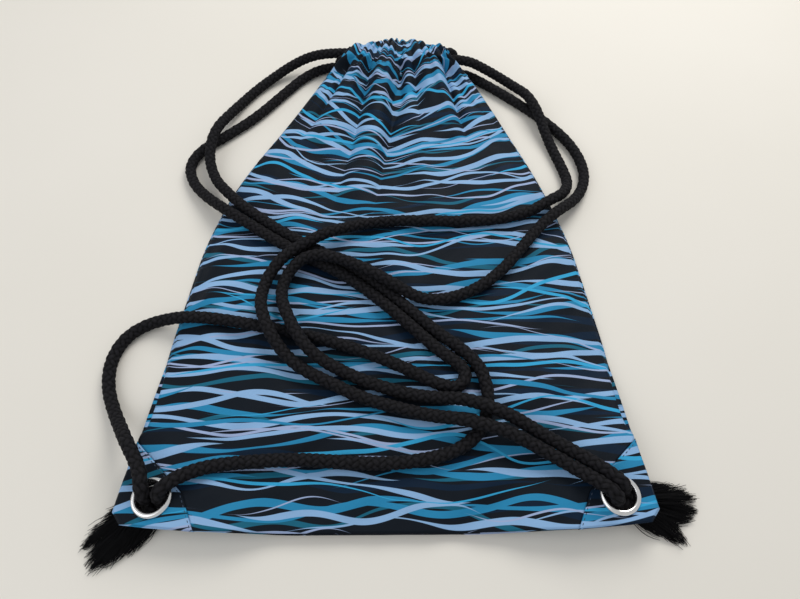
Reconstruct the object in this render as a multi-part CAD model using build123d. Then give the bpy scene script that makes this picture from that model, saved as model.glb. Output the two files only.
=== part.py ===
"""A drawstring backpack lying on its back: a flat bag of patterned cloth with a gathered mouth.

Two braided cords run through the casing round the mouth. Both ends of each cord cross the bag, go
down through the eyelet of the bottom corner on their own side and end in a knot with a frayed tassel.
Millimetres, +X to the right, +Y from the bottom edge to the mouth, +Z up from the surface it lies on.
Places are given from the middle of the bottom edge and moved to the middle of the bag on export.
"""

from build123d import *

import math
import os

# Driving dimensions
LENGTH = 466.0  # bottom edge to the top of the ruffle
CLOTH = 1.2  # thickness of the panels' cloth
SEAM = 2.0  # thickness of the folded seam allowance between two panels
SEAM_WIDTH = 4.0

CORD = 8.8  # diameter of the braided cord
CORD_RADIUS = CORD / 2

# Heights of the layers over the surface
KNOT_TOP = 15.0
TAB_Z = 16.0  # underside of the corner pieces, which rest on the knots
HEADROOM = 10.0  # underside of the front panel over the empty bag
FRONT_MOUTH_Z = 21.0  # underside of the front panel where it meets the casing

# The corners
EYELET_AT = (149.0, 20.0)
EYELET_HOLE = 18.2
EYELET_BARREL = 19.8
EYELET_OUTER = 26.2
EYELET_RIM = 2.2
WASHER_OUTER = 25.0
WASHER = 0.8
FIT = 0.05
STRAND_OFFSET = 4.45  # from the eyelet's middle to each of its two strands

# The gathered mouth
CASING_LEFT = -40.0
CASING_RIGHT = 56.0
CASING_BOTTOM = 418.0
CHANNEL_LOW = 430.5
CHANNEL_HIGH = 451.5
CHANNEL_HEIGHT = 9.2
BACK_CHANNEL_Z = 5.8  # height of the cords' axes in the back channel
FRONT_CHANNEL_Z = 21.8
LEFT_LANE = 446.0  # the left cord's place in the channels
RIGHT_LANE = 436.0
CASING_HEM = 2.4  # two layers of cloth

STITCH = (2.4, 0.8, 0.4)  # length, width and height of one stitch on top of the cloth
STITCH_STEP = 3.4
STITCH_INSET = 1.0  # from the edge that a row of stitches follows

KNOT_RADIUS = 12.6
KNOT_ROUNDING = 3.4
TASSEL_HEIGHT = 8.0

# Outline of the body above the corners: distance from the bottom edge, then left and right edges
SIDES = [
    (127.6, -163.0, 163.0),
    (225.0, -151.0, 151.0),
    (281.0, -136.0, 136.0),
    (328.0, -115.0, 120.0),
    (372.0, -86.0, 99.0),
    (CASING_BOTTOM, -54.0, 70.0),
]
# The front panel's crease inside each of those edges, and its height there
CREASES = [
    (225.0, -126.0, 126.0, HEADROOM),
    (281.0, -111.0, 111.0, HEADROOM),
    (328.0, -91.0, 95.0, HEADROOM),
    (372.0, -62.0, 75.0, 13.5),
    (CASING_BOTTOM, -38.0, 54.0, FRONT_MOUTH_Z),
]
# Right-hand corner, mirrored for the left
FOLD_START = (60.0, 0.0)  # where the bottom edge starts to lift towards the corner
PATCH_SEAM = [(120.0, 0.0), (130.5, 23.0), (166.0, 57.0)]
PATCH_EDGE = [(172.0, 12.0), (166.0, 4.5)]
CORNER_CREASES = [(88.8, 25.0), (138.0, 86.0)]

# Routes of the four free strands, each from the casing to its eyelet
LEFT_CORD_INNER = [
    (-40, 446, 5.8), (-60, 446, 5.8), (-82, 434, 4.6), (-102, 407, 4.6), (-125, 375, 4.6),
    (-150, 351, 4.6), (-170, 334, 4.6), (-178, 314, 4.6), (-171, 294, 4.8), (-157, 277, 8),
    (-141.5, 261.5, 14), (-124, 247.5, 16.7), (-106, 235, 16), (-89.6, 223.1, 16),
    (-59.4, 204.9, 16),
    (-31.7, 189.1, 16), (-8.1, 169.5, 16), (13.7, 148.7, 16), (32.6, 129, 16), (45.5, 118, 16),
    (54.5, 111, 16), (56, 101, 16), (48, 94.5, 16), (34.5, 98.5, 16), (15, 109.5, 16),
    (-12, 122, 16), (-42, 132.5, 16), (-71, 140, 16), (-98, 146, 16), (-126, 151.5, 16),
    (-150, 154.5, 14.5), (-169, 155.5, 8), (-185, 152, 4.8), (-198, 141, 4.6), (-204, 122, 4.6),
    (-201, 101, 4.6), (-192, 83, 6), (-181, 68.5, 15), (-171, 56, 25.5), (-162.5, 44.5, 28),
    (-156, 34.5, 28.5), (-154, 26.3, 28.7), (-153.45, 20, 23.3), (-153.45, 20, KNOT_TOP),
]
LEFT_CORD_OUTER = [
    (-40, 446, 21.8), (-59, 446, 21.8), (-78, 447.5, 16.5), (-96, 442, 10.5), (-113, 430, 6),
    (-128, 414, 4.6), (-141, 394, 5), (-150, 374, 8.5), (-156, 354, 14), (-159.5, 334, 14),
    (-158.5, 314, 9.5), (-151, 296, 7), (-139, 279, 13), (-123.5, 261, 16.8), (-104, 245.5, 16),
    (-84.4, 230.9, 16), (-54.6, 213.1, 16), (-26.3, 196.9, 16), (-1.9, 176.5, 16),
    (20.3, 155.3, 16), (39.4, 137, 16), (54, 126, 16), (65.5, 113, 16), (70, 99.5, 16),
    (70.5, 84, 16), (66.5, 68.5, 16), (56, 55.5, 16), (40, 47.5, 16), (18, 43, 16),
    (-8, 41.5, 16), (-36, 43.5, 16), (-64, 45, 16), (-92, 43.5, 16), (-113, 40.5, 18.5),
    (-126, 35.5, 22.5), (-134.5, 29.5, 26.5), (-140.2, 23.9, 29), (-144.55, 20, 23.3),
    (-144.55, 20, KNOT_TOP),
]
RIGHT_CORD_INNER = [
    (56, 436, 21.8), (75, 436, 21.8), (94, 432, 14), (111, 424.5, 8), (124, 412, 7.5),
    (132, 395, 13.8), (139, 374, 13.8), (144, 353, 8), (149.5, 332, 4.8), (155, 311, 4.6),
    (158, 292, 5.2), (150.5, 276, 10.5), (136, 264, 16.6), (119, 252.5, 16), (98, 245.5, 16),
    (72, 242, 16), (44, 242.5, 16), (14, 243.5, 16), (-13, 241, 16.5), (-32, 234, 19.5),
    (-50, 224, 25.6), (-79, 204, 25.6), (-91, 189, 20), (-96, 172, 17.8), (-93, 154, 25.4),
    (-84, 133.5, 25.4), (-73, 119.5, 18.8), (-59, 109, 16), (-40, 99.5, 16), (-19, 88.5, 16),
    (8, 80, 16), (32, 73.5, 18), (52, 69, 25.4), (80, 60.5, 25.4), (98, 52, 20.5),
    (113, 43, 20), (124.5, 34.5, 22.5), (133.5, 27.3, 26.5), (141.7, 20.2, 29),
    (146.3, 16.5, 23.3), (146.3, 16.5, KNOT_TOP),
]
RIGHT_CORD_OUTER = [
    (56, 436, 5.8), (73, 436, 5.8), (90, 425, 4.6), (106, 410.5, 4.6), (123, 394.5, 4.6),
    (139, 378, 4.6), (154, 360, 4.6), (166, 341, 4.6), (173, 320, 4.6), (174, 300, 4.6),
    (168, 283, 5.2), (157.5, 268, 9.5), (141.5, 253, 16.4), (126, 239, 16), (113, 223, 16),
    (101, 207.5, 16), (89.5, 194, 16), (75.5, 181.5, 16), (58, 171.5, 16), (38, 166.5, 16),
    (22, 168.5, 17.5), (7, 175.5, 23.6), (-8, 184.5, 25.6), (-25, 194, 25.6), (-42, 201, 25.6),
    (-58, 203, 25.6), (-70, 197.5, 23), (-78.5, 186, 18.8), (-81, 170.5, 18.8),
    (-74.5, 151.5, 25.4), (-61.5, 127.5, 25.4), (-49, 117.5, 18.8), (-35, 110, 16),
    (-18, 101.5, 16), (1, 94.5, 16), (20, 89.5, 16), (37, 86.5, 18.5), (54, 83.5, 25.4),
    (82, 72.5, 25.4), (99, 63, 20.5), (114, 53.7, 19.5), (127.5, 44.5, 22), (139, 34.6, 26.5),
    (147.1, 27, 29), (151.7, 23.5, 23.3), (151.7, 23.5, KNOT_TOP),
]

# Plans of the frayed tassels, from the knot to the tips
LEFT_TASSEL = [
    (-149, 20), (-172, 25), (-186, 20), (-194, -9), (-187, -21), (-160, -10), (-141, 5),
]
RIGHT_TASSEL = [
    (149, 20), (164, 31), (177, 30), (190, 32), (206, 25), (204, 8), (193, -9), (158, 4),
]


def mirrored(points):
    """The same points on the left-hand side."""
    return [(-x, *rest) for x, *rest in points]


def at_height(points, z):
    return [(x, y, z) for x, y in points]


def cloth(facets, thickness):
    """One sheet of cloth: flat facets given by their lower corners, joined along shared edges."""

    def lifted(corner):
        x, y, z = corner
        return (x, y, z + thickness)

    def face(corners):
        return Face(Wire.make_polygon([Vector(*corner) for corner in corners], close=True))

    edges = [
        (facet[i], facet[(i + 1) % len(facet)]) for facet in facets for i in range(len(facet))
    ]
    rim = [(a, b) for a, b in edges if (b, a) not in edges]
    faces = [face(facet) for facet in facets]
    faces += [face([lifted(corner) for corner in facet]) for facet in facets]
    faces += [face([a, b, lifted(b), lifted(a)]) for a, b in rim]
    return Solid(Shell(faces)).fix().clean()


def strip(rows):
    """Triangles between rows of corners that run from left to right."""
    facets = []
    for low, high in zip(rows, rows[1:]):
        for i in range(len(low) - 1):
            facets.append((low[i], low[i + 1], high[i + 1]))
            facets.append((low[i], high[i + 1], high[i]))
    return facets


def wound_alike(facets):
    """The facets with their corners counter-clockwise as seen from above."""
    result = []
    for facet in facets:
        turn = sum(
            a[0] * b[1] - b[0] * a[1] for a, b in zip(facet, facet[1:] + facet[:1])
        )
        result.append(facet if turn > 0 else facet[::-1])
    return result


def back_panel():
    """The panel that lies on the surface, its corners lifted onto the knots."""
    fold_start = (*FOLD_START, 0.0)
    fold_end = (SIDES[0][2], SIDES[0][0], 0.0)
    first, middle, last = at_height(PATCH_SEAM, TAB_Z)
    corner = [(fold_start, first, middle), (fold_start, middle, fold_end), (middle, last, fold_end)]
    facets = list(corner)
    facets += [tuple(mirrored(facet)) for facet in corner]
    left = [(x, y, 0.0) for y, x, _ in SIDES]
    right = [(x, y, 0.0) for y, _, x in SIDES]
    facets.append(tuple([(-FOLD_START[0], 0.0, 0.0), fold_start] + right + left[::-1]))
    return cloth(wound_alike(facets), CLOTH)


def front_panel():
    """The patterned panel on top: flat over the empty bag, gathered up to the casing."""
    rim_z = CLOTH + SEAM
    start = (*FOLD_START, rim_z)
    first, middle, last = at_height(PATCH_SEAM, TAB_Z + CLOTH)
    inner, outer = at_height(CORNER_CREASES, HEADROOM)
    side = (SIDES[0][2], SIDES[0][0], rim_z)
    corner = [
        (start, first, inner),
        (first, middle, inner),
        (middle, outer, inner),
        (middle, last, outer),
        (last, side, outer),
    ]
    facets = list(corner)
    facets += [tuple(mirrored(facet)) for facet in corner]
    left_start, left_inner, left_outer, left_side = mirrored([start, inner, outer, side])
    facets.append((left_start, start, inner, left_inner))
    rows = [[left_side, left_outer, outer, side]]
    for (y, left, right), (_, left_crease, right_crease, z) in zip(SIDES[1:], CREASES):
        rows.append([(left, y, rim_z), (left_crease, y, z), (right_crease, y, z), (right, y, rim_z)])
    facets.append((left_inner, inner, outer, left_outer))
    facets += strip(rows)
    return cloth(wound_alike(facets), CLOTH)


def side_seam(column, inward):
    """The folded seam allowance inside one side, from the corner to the casing."""
    edge = [(row[column], row[0]) for row in SIDES]
    inner = [(x + inward * SEAM_WIDTH, y) for x, y in edge]
    outline = Wire.make_polygon([Vector(x, y, CLOTH) for x, y in edge + inner[::-1]], close=True)
    return extrude(Face(outline), amount=SEAM, dir=(0, 0, 1))


def bottom_seam():
    """The folded seam allowance inside the bottom edge, between the lifted corners."""
    half = FOLD_START[0]
    return Pos(0, SEAM_WIDTH / 2, CLOTH) * Box(
        2 * half, SEAM_WIDTH, SEAM, align=(Align.CENTER, Align.CENTER, Align.MIN)
    )


def corner_piece(side, z):
    """One layer of the corner piece that carries the eyelet."""
    outline = PATCH_SEAM + PATCH_EDGE
    points = outline if side > 0 else mirrored(outline)
    piece = extrude(
        Face(Wire.make_polygon([Vector(x, y, z) for x, y in points], close=True)),
        amount=CLOTH,
        dir=(0, 0, 1),
    )
    x, y = EYELET_AT
    return piece - Pos(side * x, y, z + CLOTH / 2) * Cylinder(EYELET_BARREL / 2 + FIT, 2 * CLOTH)


def eyelet(side):
    """The front half of the eyelet: a rolled ring on the cloth and a barrel through it."""
    top = TAB_Z + 2 * CLOTH
    hole = EYELET_HOLE / 2
    barrel = EYELET_BARREL / 2
    outer = EYELET_OUTER / 2
    low = TAB_Z - WASHER
    with BuildPart() as ring:
        with BuildSketch(Plane.XZ):
            with BuildLine():
                Polyline((hole, top + EYELET_RIM / 2), (hole, low), (barrel, low), (barrel, top))
                Line((barrel, top), (outer, top))
                Line((outer, top), (outer, top + 0.4))
                ThreePointArc(
                    (outer, top + 0.4),
                    ((hole + outer) / 2, top + EYELET_RIM),
                    (hole, top + EYELET_RIM / 2),
                )
            make_face()
        revolve(axis=Axis.Z)
    return Pos(side * EYELET_AT[0], EYELET_AT[1], 0) * ring.part


def eyelet_washer(side):
    """The ring on the underside that the barrel is flared over."""
    ring = Cylinder(WASHER_OUTER / 2, WASHER) - Cylinder(EYELET_BARREL / 2 + FIT, 2 * WASHER)
    return Pos(side * EYELET_AT[0], EYELET_AT[1], TAB_Z - WASHER / 2) * ring


def casing(channel_z, hem_z, ruffle_z):
    """One channel of the drawcord casing, with the hem below it and the ruffle above it."""
    width = CASING_RIGHT - CASING_LEFT
    middle = (CASING_LEFT + CASING_RIGHT) / 2
    channel = CHANNEL_HIGH - CHANNEL_LOW
    tube_low = CHANNEL_LOW - CLOTH
    tube_high = CHANNEL_HIGH + CLOTH

    def block(low, high, z, height):
        return Pos(middle, (low + high) / 2, z) * Box(width, high - low, height)

    shape = block(tube_low, tube_high, channel_z, CHANNEL_HEIGHT + 2 * CLOTH)
    shape += block(CASING_BOTTOM, tube_low, hem_z + CASING_HEM / 2, CASING_HEM)
    shape += block(tube_high, LENGTH, ruffle_z, CASING_HEM)
    bore = Pos(middle, CHANNEL_LOW + channel / 2, channel_z) * Box(
        2 * width, channel, CHANNEL_HEIGHT
    )
    return shape - bore


def stitches(start, end, z):
    """A row of separate stitches on top of the cloth, from one point to another."""
    run = Vector(*end) - Vector(*start)
    count = int((run.length - STITCH[0]) / STITCH_STEP) + 1
    slack = run.length - STITCH[0] - (count - 1) * STITCH_STEP
    turn = math.degrees(math.atan2(run.Y, run.X))
    placed = []
    for i in range(count):
        along = (slack / 2 + STITCH[0] / 2 + i * STITCH_STEP) / run.length
        x = start[0] + run.X * along
        y = start[1] + run.Y * along
        placed.append(Pos(x, y, z + STITCH[2] / 2) * Rot(0, 0, turn) * Box(*STITCH))
    return placed


def casing_stitching():
    """The row of stitches that closes the front channel along its lower edge."""
    y = CASING_BOTTOM + STITCH_INSET
    return Compound(stitches((CASING_LEFT, y), (CASING_RIGHT, y), FRONT_MOUTH_Z + CASING_HEM))


def corner_stitching(side):
    """The stitches beside the seam that joins a corner piece to the bag."""
    z = TAB_Z + 2 * CLOTH
    rows = []
    for (x0, y0), (x1, y1) in zip(PATCH_SEAM, PATCH_SEAM[1:]):
        length = math.hypot(x1 - x0, y1 - y0)
        along = ((x1 - x0) / length, (y1 - y0) / length)
        shift = (along[1] * STITCH_INSET, -along[0] * STITCH_INSET)
        start = (x0 + shift[0] + 2 * along[0], y0 + shift[1] + 2 * along[1])
        end = (x1 + shift[0] - 2 * along[0], y1 + shift[1] - 2 * along[1])
        if side < 0:
            start, end = (-start[0], start[1]), (-end[0], end[1])
        rows += stitches(start, end, z)
    return Compound(rows)


def corner_radii(points):
    """For each bend, 0.45 of the shorter run divided by the tangent of half the turn."""
    corners = [Vector(*point) for point in points]
    runs = [b - a for a, b in zip(corners, corners[1:])]
    radii = []
    for before, after in zip(runs, runs[1:]):
        half_turn = math.radians(before.get_angle(after)) / 2
        radii.append(0.45 * min(before.length, after.length) / math.tan(half_turn))
    return radii


def strand(name, points):
    """A free strand: straight runs joined by tangent arcs, swept with the cord's section."""
    radii = corner_radii(points)
    path = FilletPolyline(*points, radius=radii)
    section = Plane(origin=path @ 0, z_dir=path % 0) * Circle(CORD_RADIUS)
    tube = sweep(section, path=path)
    expected = math.pi * CORD_RADIUS**2 * path.length
    print(name, "length", round(path.length, 1), "volume ratio", round(tube.volume / expected, 5))
    print("  radii", [round(radius, 1) for radius in radii])
    return tube


def cased_cord(lane, start_x, far_x):
    """The stretch inside the casing: the front channel, round the side seam, the back channel."""
    turn = (FRONT_CHANNEL_Z - BACK_CHANNEL_Z) / 2
    middle_z = (FRONT_CHANNEL_Z + BACK_CHANNEL_Z) / 2
    outward = math.copysign(turn, far_x - start_x)
    front = Line((start_x, lane, FRONT_CHANNEL_Z), (far_x, lane, FRONT_CHANNEL_Z))
    bend = ThreePointArc(front @ 1, (far_x + outward, lane, middle_z), (far_x, lane, BACK_CHANNEL_Z))
    back = Line(bend @ 1, (start_x, lane, BACK_CHANNEL_Z))
    path = Wire([front, bend, back])
    section = Plane(origin=front @ 0, z_dir=front % 0) * Circle(CORD_RADIUS)
    return sweep(section, path=path)


def knot(side):
    """Both strands tied together under the eyelet."""
    body = Cylinder(KNOT_RADIUS, KNOT_TOP)
    body = fillet(body.edges().filter_by(GeomType.CIRCLE), KNOT_ROUNDING)
    return Pos(side * EYELET_AT[0], EYELET_AT[1], KNOT_TOP / 2) * body


def tassel(side, plan):
    """The frayed ends of both strands, spread flat on the surface beside the knot."""
    fan = extrude(
        Face(Wire.make_polygon([Vector(x, y, 0) for x, y in plan], close=True)),
        amount=TASSEL_HEIGHT,
        dir=(0, 0, 1),
    )
    return fan - knot(side)


def nodes():
    """Every sub-part by name."""
    made = {
        "front_panel": front_panel(),
        "back_panel": back_panel(),
        "left_side_seam": side_seam(1, 1),
        "right_side_seam": side_seam(2, -1),
        "bottom_seam": bottom_seam(),
        "front_casing": casing(FRONT_CHANNEL_Z, FRONT_MOUTH_Z, FRONT_CHANNEL_Z),
        "back_casing": casing(BACK_CHANNEL_Z, 0.0, BACK_CHANNEL_Z),
        "casing_stitching": casing_stitching(),
        "left_cord_in_casing": cased_cord(LEFT_LANE, CASING_LEFT, CASING_RIGHT),
        "right_cord_in_casing": cased_cord(RIGHT_LANE, CASING_RIGHT, CASING_LEFT),
        "left_cord_inner": strand("left_cord_inner", LEFT_CORD_INNER),
        "left_cord_outer": strand("left_cord_outer", LEFT_CORD_OUTER),
        "right_cord_inner": strand("right_cord_inner", RIGHT_CORD_INNER),
        "right_cord_outer": strand("right_cord_outer", RIGHT_CORD_OUTER),
        "left_tassel": tassel(-1, LEFT_TASSEL),
        "right_tassel": tassel(1, RIGHT_TASSEL),
    }
    for name, side in (("left", -1), ("right", 1)):
        made[f"{name}_corner_front"] = corner_piece(side, TAB_Z + CLOTH)
        made[f"{name}_corner_back"] = corner_piece(side, TAB_Z)
        made[f"{name}_corner_stitching"] = corner_stitching(side)
        made[f"{name}_eyelet"] = eyelet(side)
        made[f"{name}_eyelet_washer"] = eyelet_washer(side)
        made[f"{name}_knot"] = knot(side)
    return made


os.makedirs("parts", exist_ok=True)
for node_name, shape in nodes().items():
    export_step(Pos(0, -LENGTH / 2, 0) * shape, f"parts/{node_name}.step")
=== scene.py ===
"""The looks of a drawstring backpack lying on its back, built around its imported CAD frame.

Metres, +X to the right, +Y from the bottom edge to the gathered mouth, +Z up from the surface.
"""

import math

import bpy
import numpy as np
from mathutils import Matrix, Vector
from mathutils.bvhtree import BVHTree
from mathutils.kdtree import KDTree


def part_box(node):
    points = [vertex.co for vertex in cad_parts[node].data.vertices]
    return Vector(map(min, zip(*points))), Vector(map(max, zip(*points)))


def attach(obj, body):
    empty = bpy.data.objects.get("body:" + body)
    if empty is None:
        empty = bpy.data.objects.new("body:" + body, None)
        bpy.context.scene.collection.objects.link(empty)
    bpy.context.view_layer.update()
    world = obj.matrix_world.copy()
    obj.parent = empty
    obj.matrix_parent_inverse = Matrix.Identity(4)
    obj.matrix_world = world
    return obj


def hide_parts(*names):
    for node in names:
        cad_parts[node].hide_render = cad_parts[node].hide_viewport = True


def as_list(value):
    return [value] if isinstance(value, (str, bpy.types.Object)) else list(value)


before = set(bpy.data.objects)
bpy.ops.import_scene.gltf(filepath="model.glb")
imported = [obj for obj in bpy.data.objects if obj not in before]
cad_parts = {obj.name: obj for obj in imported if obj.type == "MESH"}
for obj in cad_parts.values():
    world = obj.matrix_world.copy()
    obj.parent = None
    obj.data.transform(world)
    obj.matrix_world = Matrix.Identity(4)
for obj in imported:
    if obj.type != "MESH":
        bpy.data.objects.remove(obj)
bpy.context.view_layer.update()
rng = np.random.default_rng(7)

# Places that come from the frame
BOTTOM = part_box("back_panel")[0].y
CASING_LEFT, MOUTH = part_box("front_casing")[0].xy
CASING_RIGHT, _, CASING_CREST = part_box("front_casing")[1]
MIDDLE_Z = CASING_CREST / 2  # the drawn mouth is as high above this as below it
TAB_TOPS = {layer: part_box(f"left_corner_{layer}")[1].z for layer in ("front", "back")}
EYELET = sum(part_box("right_eyelet"), Vector()) / 2
KNOT_Z = (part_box("right_knot")[0].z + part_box("right_knot")[1].z) / 2

CORD = 0.0088  # diameter of the braided cord
CLOTH = 0.0006  # thickness of one layer of the printed cloth
HEM_CLOTH = 0.0005  # and of the layers of the casing
CORNER_CLOTH = 0.0007  # and of the corner pieces
LOWEST = 0.00015  # the least height of a cord's underside

# Routes of the free strands from the casing to their eyelets: control points of smooth lines, in mm
LEFT_CORD_INNER = [
    (-40, 213, 5.8), (-60, 213, 5.8), (-82, 201, 4.6), (-102, 174, 4.6), (-125, 142, 4.6), (-150, 118, 4.6),
    (-170, 101, 4.6), (-178, 81, 4.6), (-171, 61, 4.8), (-157, 44, 8), (-141.5, 28.5, 14),
    (-124, 14.5, 16.7), (-106, 2, 16), (-89.6, -9.9, 16), (-59.4, -28.1, 16), (-31.7, -43.9, 16),
    (-8.1, -63.5, 16), (13.7, -84.3, 16), (32.6, -104, 16), (45.5, -115, 16), (54.5, -122, 16),
    (56, -132, 16), (48, -138.5, 16), (34.5, -134.5, 16), (15, -123.5, 16), (-12, -111, 16),
    (-42, -100.5, 16), (-71, -93, 16), (-98, -87, 16), (-126, -81.5, 16), (-150, -78.5, 14.5),
    (-169, -77.5, 8), (-185, -81, 4.8), (-198, -92, 4.6), (-204, -111, 4.6), (-201, -132, 4.6),
    (-192, -150, 6), (-181, -164.5, 15), (-171, -177, 25.5), (-162.5, -188.5, 28), (-156, -198.5, 28.5),
    (-154, -206.7, 28.7), (-153.45, -213, 23.3), (-153.45, -213, 15),
]
LEFT_CORD_OUTER = [
    (-40, 213, 21.8), (-59, 213, 21.8), (-78, 214.5, 16.5), (-96, 209, 10.5), (-113, 197, 6),
    (-128, 181, 4.6), (-141, 161, 5), (-150, 141, 8.5), (-156, 121, 14), (-159.5, 101, 14),
    (-158.5, 81, 9.5), (-151, 63, 7), (-139, 46, 13), (-123.5, 28, 16.8), (-104, 12.5, 16),
    (-84.4, -2.1, 16), (-54.6, -19.9, 16), (-26.3, -36.1, 16), (-1.9, -56.5, 16), (20.3, -77.7, 16),
    (39.4, -96, 16), (54, -107, 16), (65.5, -120, 16), (70, -133.5, 16), (70.5, -149, 16),
    (66.5, -164.5, 16), (56, -177.5, 16), (40, -185.5, 16), (18, -190, 16), (-8, -191.5, 16),
    (-36, -189.5, 16), (-64, -188, 16), (-92, -189.5, 16), (-113, -192.5, 18.5), (-126, -197.5, 22.5),
    (-134.5, -203.5, 26.5), (-140.2, -209.1, 29), (-144.55, -213, 23.3), (-144.55, -213, 15),
]
RIGHT_CORD_INNER = [
    (56, 203, 21.8), (75, 203, 21.8), (94, 199, 14), (111, 191.5, 8), (124, 179, 7.5), (132, 162, 13.8),
    (139, 141, 13.8), (144, 120, 8), (149.5, 99, 4.8), (155, 78, 4.6), (158, 59, 5.2), (150.5, 43, 10.5),
    (136, 31, 16.6), (119, 19.5, 16), (98, 12.5, 16), (72, 9, 16), (44, 9.5, 16), (14, 10.5, 16),
    (-13, 8, 16.5), (-32, 1, 19.5), (-50, -9, 25.6), (-79, -29, 25.6), (-91, -44, 20), (-96, -61, 17.8),
    (-93, -79, 25.4), (-84, -99.5, 25.4), (-73, -113.5, 18.8), (-59, -124, 16), (-40, -133.5, 16),
    (-19, -144.5, 16), (8, -153, 16), (32, -159.5, 18), (52, -164, 25.4), (80, -172.5, 25.4),
    (98, -181, 20.5), (113, -190, 20), (124.5, -198.5, 22.5), (133.5, -205.7, 26.5), (141.7, -212.8, 29),
    (146.3, -216.5, 23.3), (146.3, -216.5, 15),
]
RIGHT_CORD_OUTER = [
    (56, 203, 5.8), (73, 203, 5.8), (90, 192, 4.6), (106, 177.5, 4.6), (123, 161.5, 4.6), (139, 145, 4.6),
    (154, 127, 4.6), (166, 108, 4.6), (173, 87, 4.6), (174, 67, 4.6), (168, 50, 5.2), (157.5, 35, 9.5),
    (141.5, 20, 16.4), (126, 6, 16), (113, -10, 16), (101, -25.5, 16), (89.5, -39, 16), (75.5, -51.5, 16),
    (58, -61.5, 16), (38, -66.5, 16), (22, -64.5, 17.5), (7, -57.5, 23.6), (-8, -48.5, 25.6),
    (-25, -39, 25.6), (-42, -32, 25.6), (-58, -30, 25.6), (-70, -35.5, 23), (-78.5, -47, 18.8),
    (-81, -62.5, 18.8), (-74.5, -81.5, 25.4), (-61.5, -105.5, 25.4), (-49, -115.5, 18.8), (-35, -123, 16),
    (-18, -131.5, 16), (1, -138.5, 16), (20, -143.5, 16), (37, -146.5, 18.5), (54, -149.5, 25.4),
    (82, -160.5, 25.4), (99, -170, 20.5), (114, -179.3, 19.5), (127.5, -188.5, 22), (139, -198.4, 26.5),
    (147.1, -206, 29), (151.7, -209.5, 23.3), (151.7, -209.5, 15),
]

# The cut of a panel: height over the bottom edge, then its left and right edges
OUTLINE = [
    (0.0, -0.12, 0.12), (0.023, -0.1305, 0.1305), (0.057, -0.166, 0.166), (0.1276, -0.163, 0.163),
    (0.225, -0.151, 0.151), (0.281, -0.136, 0.137), (0.328, -0.115, 0.121), (0.356, -0.098, 0.109),
    (0.391, -0.075, 0.091), (0.418, -0.06, 0.077),
]
SEAM_END = 0.057  # height where the corner seam meets the side
FLAT_WIDTH = 0.332  # of a panel between its seams, laid flat
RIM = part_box("front_panel")[0].z - 0.001  # where the front panel's edges lie
PANEL_HEIGHT = MOUTH - BOTTOM
LAYER_GAP = 0.0015  # from the mouth's middle to each layer sewn there

# How far the cloth's rows hang lower in the middle than at the sides, by height
SAG = [(0.127, 0.0), (0.225, 0.012), (0.281, 0.022), (0.328, 0.028), (0.372, 0.03), (0.418, 0.022),
       (0.466, 0.01)]

# Sharp creases down from the mouth: x there, x and height where the crease ends, depth at the mouth
CREASES = [
    (-0.04, -0.09, 0.322, 0.004), (-0.019, -0.046, 0.258, 0.0075), (0.0115, -0.012, 0.258, 0.0125),
    (0.025, 0.03, 0.34, 0.003), (0.055, 0.09, 0.262, 0.0075),
]
SIDE_FADE = 0.335  # height where the pleats beside the edges end
# Rounded pleats between the creases, from left to right: rise, and where across it is highest
PLEATS = [(0.008, 0.55), (0.012, 0.5), (0.018, 0.55), (0.0065, 0.55), (0.0145, 0.7), (0.008, 0.5)]
CREASE_FADE = 0.62  # how a crease dies out towards its end: 1 is evenly, less is later
PLEAT_ROUND = 2.1  # how round the pleats are: 1 is a straight ridge
PUCKERS = 13  # small gathers across the mouth

# Right-hand corner piece, mirrored for the left: (x, height over the bottom edge)
CORNER = [(0.12, 0.0), (0.166, 0.0045), (0.172, 0.012), (0.166, 0.057), (0.1305, 0.023)]


def add_object(name, data):
    piece = bpy.data.objects.new(name, data)
    bpy.context.scene.collection.objects.link(piece)
    return piece


def mesh_object(name, points, faces, material, uv=None):
    """A smooth-shaded mesh in the row frame, with an optional map for each point."""
    mesh = bpy.data.meshes.new(name)
    mesh.from_pydata(np.asarray(points).tolist(), [], faces)
    mesh.polygons.foreach_set("use_smooth", [True] * len(mesh.polygons))
    if uv is not None:
        corners = np.zeros(len(mesh.loops), np.int32)
        mesh.loops.foreach_get("vertex_index", corners)
        mesh.uv_layers.new(name="Cloth").data.foreach_set("uv", np.asarray(uv)[corners].ravel())
    mesh.materials.append(material)
    mesh.update()
    return add_object(name, mesh)


def grid_faces(rows, columns, closed=False):
    """Quads between neighbouring rows of points, all the way round if the rows are rings."""
    row = np.arange(rows - 1)[:, None] * columns
    here = np.arange(columns if closed else columns - 1)[None, :]
    there = (here + 1) % columns
    quads = [row + here, row + there, row + columns + there, row + columns + here]
    return np.stack(quads, axis=-1).reshape(-1, 4).tolist()


def full_turn(count):
    """Even angles all the way round."""
    return np.linspace(0, math.tau, count, endpoint=False)


def tube_faces(rows, around):
    """Faces of a tube made of rings of points, with both ends closed."""
    last = (rows - 1) * around
    ends = [list(reversed(range(around))), [last + k for k in range(around)]]
    return grid_faces(rows, around, closed=True) + ends


def smoothstep(low, high, x):
    t = np.clip((x - low) / (high - low), 0, 1)
    return t * t * (3 - 2 * t)


def run_along(line):
    """How far along a line each of its points is."""
    return np.concatenate([[0], np.cumsum(np.linalg.norm(np.diff(line, axis=0), axis=1))])


def ride_and_stand(piece, body, node):
    """Every piece rides a body and stands for its CAD node, which is hidden."""
    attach(piece, body)
    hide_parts(node)
    return piece


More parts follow.
